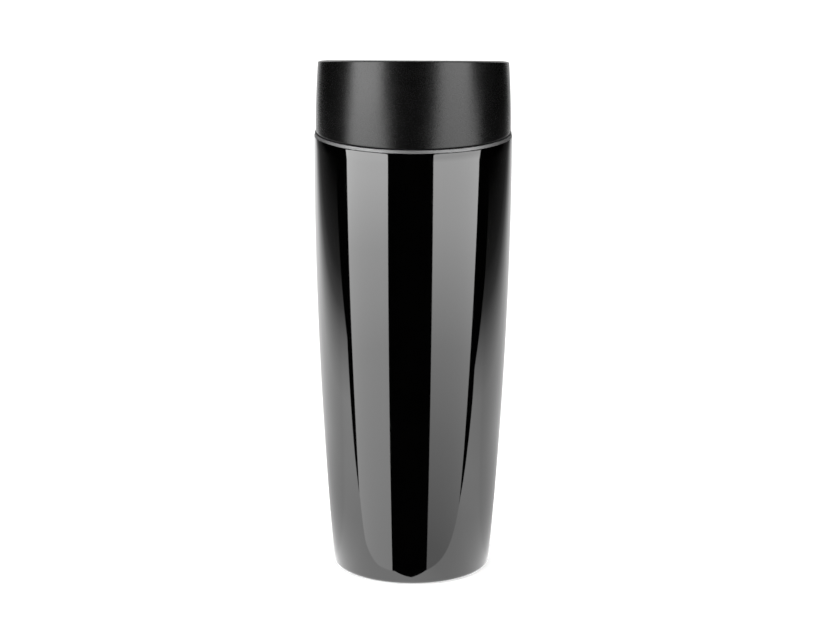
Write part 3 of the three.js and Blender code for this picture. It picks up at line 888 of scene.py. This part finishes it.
replaced = set(MODELLED) | {row[0] for row in TURNED}
for node, carried in frame["nodes"].items():
    if node not in replaced:
        carried.data.materials.clear()
        carried.data.materials.append(MATERIALS[SLOT_OF[node]])


# ---------------------------------------------------------------- the studio

# Each softbox has an outline from the bottom up, as (height, near azimuth, far azimuth), and a
# light, as (height, strength). Heights are in metres and azimuths in degrees.
LEFT_PANEL = [(-1.8, -28.5, -45), (-0.7, -28.5, -64), (-0.45, -28.5, -76), (-0.3, -28.5, -77),
              (0.065, -28.5, -82.5), (0.1, -37, -76), (1.6, -37, -76)]
RIGHT_PANEL = [(-1.8, 22.8, 40), (-0.7, 22.8, 56), (-0.35, 22.8, 72), (-0.12, 22.8, 78),
               (0.065, 22.8, 83), (0.1, 30, 70), (1.6, 30, 70)]
LEFT_LIGHT = [(-0.5, 4.6), (-0.35, 5.1), (-0.23, 5.5), (-0.17, 6.3), (-0.11, 6.9), (-0.03, 9.0),
              (0.02, 9.6), (0.065, 9.7), (0.2, 16.5), (0.5, 7), (0.65, 1.4)]
RIGHT_LIGHT = [(-0.5, 2.0), (-0.35, 3.0), (-0.23, 4.1), (-0.15, 5.6), (-0.08, 7.0), (0.0, 8.0),
               (0.04, 6.5), (0.065, 6.8), (0.2, 12), (0.5, 6), (0.65, 1.2)]

# The table's glow: its strength against spread, a distance that hardly grows behind the tumbler;
# its share against direction (-1 is in front and 1 behind) and against the place to the right; and
# its front edge, as (right, back).
GLOW = [(0.05, 1.75), (0.09, 1.8), (0.15, 2.2), (0.25, 2.55), (0.3, 2.25), (0.36, 1.6),
        (0.43, 0.65), (0.52, 0.24), (0.62, 0.14), (0.8, 0.03), (0.9, 0)]
IN_FRONT = [(-1, 2.2), (-0.7, 2.0), (-0.45, 1.85), (-0.2, 1.55), (0.1, 1.12), (0.3, 1.08)]
SIDE = [(0, 1), (0.02, 0.85), (0.055, 0.87), (0.1, 0.9), (0.45, 0.57)]
FRONT_EDGE = [(-0.75, 0.09), (-0.52, 0.015), (-0.36, -0.045), (-0.24, -0.047), (-0.1, -0.048),
              (-0.054, -0.041), (-0.026, -0.041), (-0.012, -0.044), (0, -0.041), (0.01, -0.045),
              (0.1, -0.057), (0.165, -0.057), (0.25, -0.054), (0.3, -0.056), (0.52, 0.03),
              (0.75, 0.09)]


def glowing(name, strength_at=None):
    """A white light-giving material of strength 1, or of what `strength_at` makes in its tree."""
    material = bpy.data.materials.new(name)
    material.use_nodes = True
    tree = material.node_tree
    tree.nodes.clear()
    output = tree.nodes.new("ShaderNodeOutputMaterial")
    emission = tree.nodes.new("ShaderNodeEmission")
    tree.links.new(emission.outputs[0], output.inputs["Surface"])
    if strength_at:
        tree.links.new(strength_at(tree), emission.inputs["Strength"])
    return material


def sheet_of(name, corners, faces, material):
    mesh = bpy.data.meshes.new(name)
    mesh.from_pydata(corners, [], faces)
    mesh.materials.append(material)
    sheet = bpy.data.objects.new(name, mesh)
    bpy.context.scene.collection.objects.link(sheet)
    return sheet


def plane(name, corners, material):
    return sheet_of(name, corners, [tuple(range(len(corners)))], material)


def around(azimuth, distance, height):
    """A point of the studio. Azimuth 0 is in front, towards the camera, 90 to the right."""
    angle = math.radians(azimuth)
    return (distance * math.sin(angle), -distance * math.cos(angle), height)


def softbox(name, outline, light):
    """A tall curved panel round the axis, out of the camera's own sight."""
    distance = 1.0
    columns = 12
    corners = []
    for height, near, far in outline:
        azimuths = [near + (far - near) * i / columns for i in range(columns + 1)]
        corners += [around(azimuth, distance, height) for azimuth in azimuths]
    row = columns + 1
    faces = [(i, i + 1, i + 1 + row, i + row) for i in range(len(corners) - row) if i % row != columns]
    material = glowing(name, lambda tree: curve(tree, place_of(tree)["Z"], light))
    panel = sheet_of(name, corners, faces, material)
    panel.visible_camera = False


def table_glow():
    """What the lacquer sees of the lit table round the foot: bright close by, fading with
    distance, furthest behind, and a little dimmer on the right. It ends just in front."""
    def strength(tree):
        place = place_of(tree)
        right, back = place["X"], place["Y"]
        distance = length_of(tree, right, back)
        towards_back = calculate(tree, "DIVIDE", back, distance)
        shift = calculate(tree, "MULTIPLY", back, 0.2)
        spread = calculate(tree, "SUBTRACT", length_of(tree, right, shift), shift)
        fading = curve(tree, spread, GLOW)
        # behind, the share falls by 0.75 close to the foot and by 0.43 further out
        loss = ramp(tree, distance, 0.08, 0.2, -0.75, -0.43)
        behind = calculate(tree, "MULTIPLY", ramp(tree, towards_back, 0, 0.9, 0, 1), loss)
        share = calculate(tree, "ADD", curve(tree, towards_back, IN_FRONT), behind)
        glow = calculate(tree, "MULTIPLY", fading, share)
        return calculate(tree, "MULTIPLY", glow, curve(tree, right, SIDE))

    half = 1.5
    outline = [(-half, 0.2), *FRONT_EDGE, (half, 0.2), (half, half), (-half, half)]
    corners = [(right, back, 0) for right, back in outline]
    sheet = plane("table_glow", corners, glowing("table_glow", strength))
    sheet.visible_camera = False
    sheet.visible_diffuse = False
    sheet.visible_shadow = False
    sheet.visible_transmission = False


def floor():
    """Pale matte floor. The lacquer sees table_glow in its place."""
    s = Surface("pale_floor", 0.9)
    s.colour(s.noise(4, 2), (0.88, 0.88, 0.88), (0.9, 0.9, 0.9))
    s.shader.inputs["Emission Color"].default_value = (1, 1, 1, 1)
    s.shader.inputs["Emission Strength"].default_value = 0.16
    half = 8
    corners = [(-half, -half, 0), (half, -half, 0), (half, half, 0), (-half, half, 0)]
    sheet = plane("floor", corners, s.material)
    sheet.visible_glossy = False


def backdrop():
    """White card behind the tumbler, which brightens its outline."""
    distance = 1.6
    low, high = -0.6, 0.9
    right, left = 148, 212
    corners = [around(right, distance, low), around(left, distance, low),
               around(left, distance, high), around(right, distance, high)]
    sheet = plane("back_card", corners, glowing("back_card"))
    sheet.visible_camera = False
    sheet.visible_diffuse = False
    sheet.visible_shadow = False


def white_world():
    """White to the camera and as soft fill; nothing of it shows in the gloss."""
    brightness = 1.16
    world = bpy.data.worlds.new("white_world")
    world.use_nodes = True
    tree = world.node_tree
    background = tree.nodes["Background"]
    path = tree.nodes.new("ShaderNodeLightPath")
    strength = ramp(tree, path.outputs["Is Glossy Ray"], 0, 1, brightness, 0.0)
    tree.links.new(strength, background.inputs["Strength"])
    background.inputs["Color"].default_value = (1, 1, 1, 1)
    bpy.context.scene.world = world


def front_camera():
    """A long lens, a little above the tumbler."""
    distance, height = 1.179, 0.4188
    pitch = math.radians(14.5)
    roll = math.radians(0.25)
    data = bpy.data.cameras.new("camera")
    data.sensor_width = 36
    data.lens = 123.3
    camera = bpy.data.objects.new("camera", data)
    bpy.context.scene.collection.objects.link(camera)
    turn = Matrix.Rotation(math.pi / 2 - pitch, 4, "X") @ Matrix.Rotation(roll, 4, "Z")
    camera.matrix_world = Matrix.Translation((0, -distance, height)) @ turn
    bpy.context.scene.camera = camera


floor()
table_glow()
backdrop()
softbox("left_softbox", LEFT_PANEL, LEFT_LIGHT)
softbox("right_softbox", RIGHT_PANEL, RIGHT_LIGHT)
white_world()
front_camera()
bpy.context.scene.view_settings.view_transform = "Standard"
